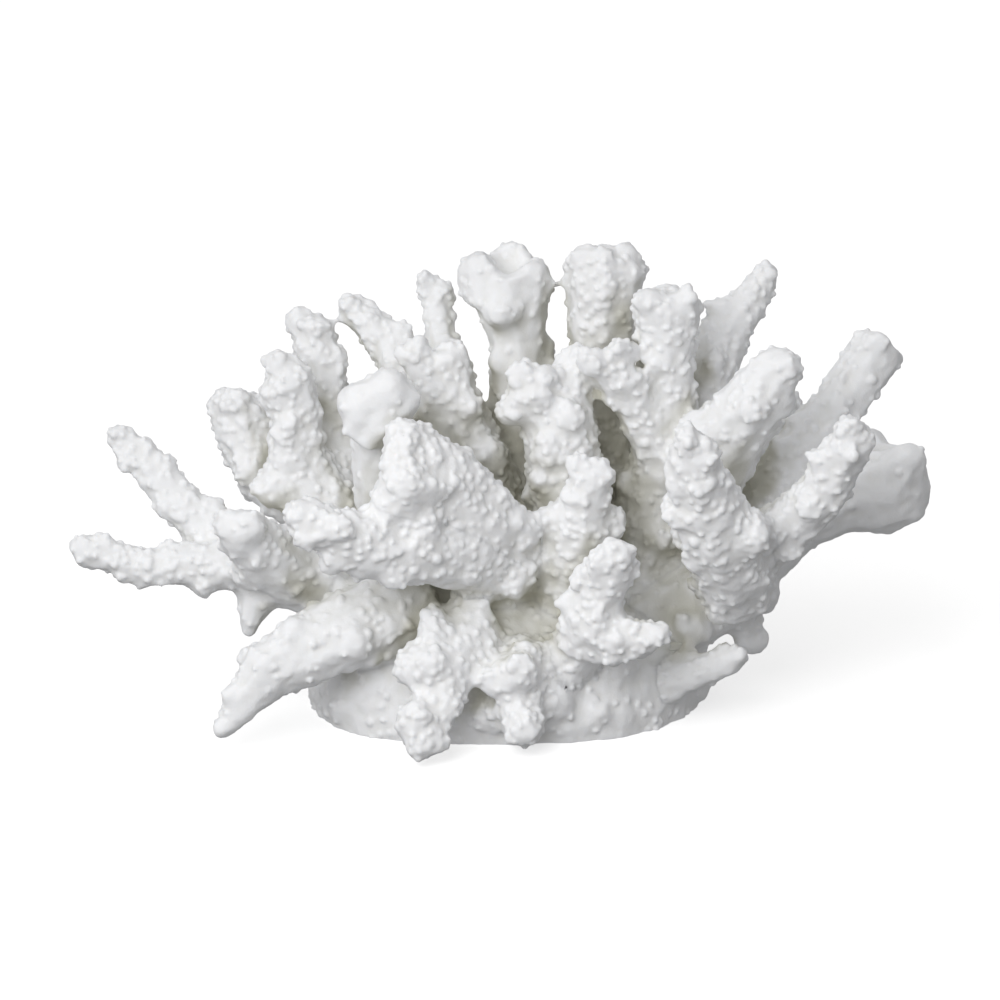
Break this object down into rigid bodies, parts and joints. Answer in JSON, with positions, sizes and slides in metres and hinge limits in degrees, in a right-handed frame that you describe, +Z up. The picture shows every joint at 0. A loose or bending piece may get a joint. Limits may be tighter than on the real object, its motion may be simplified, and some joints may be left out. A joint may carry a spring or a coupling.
{
  "type": "branching coral",
  "caption": "White branching coral with knobbly, tapering branches that spread from a low flat-cut foot; stands on the cut as an ornament.",
  "frame": {"origin": "middle of the flat face the coral rests on", "axes": "+Z up; +X along the long side of the clump, to the right when it is seen from the front; the front faces -Y"},
  "size_m": [0.3012, 0.1613, 0.1605],
  "materials": {
    "white_coral": "bleached white coral skeleton, matte, covered in small rounded bumps"
  },
  "bodies": {
    "root": {"foot": "white_coral", "left_limb": "white_coral", "left_upper_finger": "white_coral", "left_lower_finger": "white_coral", "left_front_stub": "white_coral", "left_low_arm": "white_coral", "rear_left_limb": "white_coral", "rear_left_upright_finger": "white_coral", "rear_left_tall_finger": "white_coral", "rear_left_cone_finger": "white_coral", "knotted_limb": "white_coral", "leaning_finger": "white_coral", "slim_finger": "white_coral", "front_left_limb": "white_coral", "curled_thumb": "white_coral", "front_left_arm": "white_coral", "front_left_nub": "white_coral", "front_centre_nub": "white_coral", "front_knuckled_nub": "white_coral", "centre_column": "white_coral", "front_centre_finger": "white_coral", "tall_cupped_branch": "white_coral", "tall_blunt_branch": "white_coral", "right_trunk": "white_coral", "knuckled_twig": "white_coral", "square_topped_branch": "white_coral", "right_pointed_finger": "white_coral", "right_round_finger": "white_coral", "right_limb": "white_coral", "right_flat_ended_finger": "white_coral", "right_flared_lobe": "white_coral", "right_front_finger": "white_coral", "right_beaded_column": "white_coral", "right_low_finger": "white_coral", "back_left_limb": "white_coral", "back_left_outer_finger": "white_coral", "back_left_inner_finger": "white_coral", "back_centre_limb": "white_coral", "back_centre_left_finger": "white_coral", "back_centre_right_finger": "white_coral", "back_right_limb": "white_coral", "back_right_inner_finger": "white_coral", "back_right_outer_finger": "white_coral", "back_low_left_finger": "white_coral", "back_low_centre_finger": "white_coral", "back_low_right_finger": "white_coral"}
  },
  "joints": []
}
